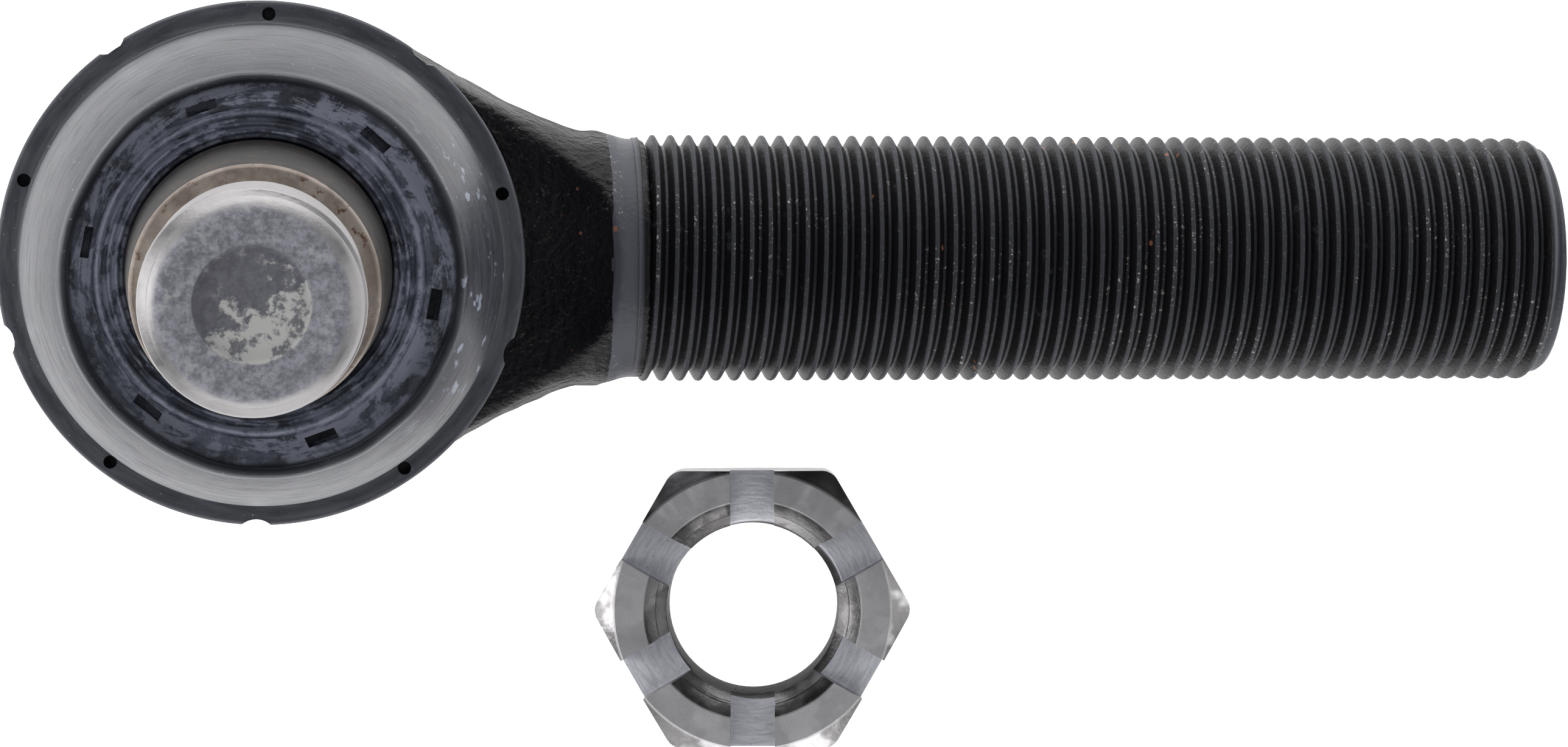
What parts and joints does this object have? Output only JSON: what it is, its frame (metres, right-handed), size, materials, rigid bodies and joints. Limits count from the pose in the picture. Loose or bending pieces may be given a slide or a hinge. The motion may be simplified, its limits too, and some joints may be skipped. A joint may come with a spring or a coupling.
{
  "type": "tie rod end",
  "caption": "Ball-jointed rod end with a long left-hand threaded shank, tapered threaded stud, rubber dust boot, grease fitting and loose slotted nut.",
  "frame": {"origin": "centre of the ball", "axes": "+X along the shank to its threaded end, +Z along the socket's axis to the side the stud comes out of"},
  "size_m": [0.1794, 0.0888, 0.1182],
  "materials": {
    "forged_black_paint": "rough, dusty black paint over a forging",
    "bearing_polymer": "smooth moulded bearing resin",
    "spring_steel": "oiled spring steel",
    "cover_steel": "painted pressed steel",
    "zinc_plate": "yellowed zinc plate",
    "polished_ball": "polished steel",
    "stud_steel": "turned steel, stained grey",
    "black_rubber": "moulded rubber with pale bloom",
    "insert_steel": "phosphated steel insert",
    "nut_steel": "bright grey plain steel"
  },
  "bodies": {
    "housing": {"socket_housing": "forged_black_paint", "upper_bearing": "bearing_polymer", "preload_spring": "spring_steel", "end_cover": "cover_steel", "grease_fitting": "zinc_plate", "grease_check_spring": "spring_steel"},
    "boot_base": {"lower_bearing": "bearing_polymer", "boot_base_ring": "insert_steel", "dust_boot": "black_rubber"},
    "boot_neck": {"boot_neck_ring": "insert_steel"},
    "stud": {"ball_stud": "stud_steel"},
    "check_ball": {"grease_check_ball": "polished_ball"},
    "nut": {"castle_nut": "nut_steel"}
  },
  "joints": [
    {"name": "swivel", "type": "hinge", "parent": "housing", "child": "boot_base", "pos_m": [0, 0, 0], "axis": [0, 0, 1], "continuous": true},
    {"name": "tilt", "type": "hinge", "parent": "boot_base", "child": "boot_neck", "pos_m": [0, 0, 0], "axis": [-0.3907, -0.9205, 0], "range_deg": [-21, 19], "deforming": ["dust_boot"]},
    {"name": "spin", "type": "hinge", "parent": "boot_neck", "child": "stud", "pos_m": [0, 0, 0], "axis": [-0.0161, 0.0068, 0.9998], "continuous": true},
    {"name": "check_valve", "type": "slide", "parent": "housing", "child": "check_ball", "axis": [0, 0, 1], "range_m": [0, 0.0008], "stiffness_N_per_m": 400, "springref_m": -0.002, "deforming": ["grease_check_spring"]},
    {"name": "nut_lift", "type": "slide", "parent": "housing", "child": "nut", "axis": [-0.121, 0.0848, 0.989], "range_m": [0, 0.12]}
  ]
}
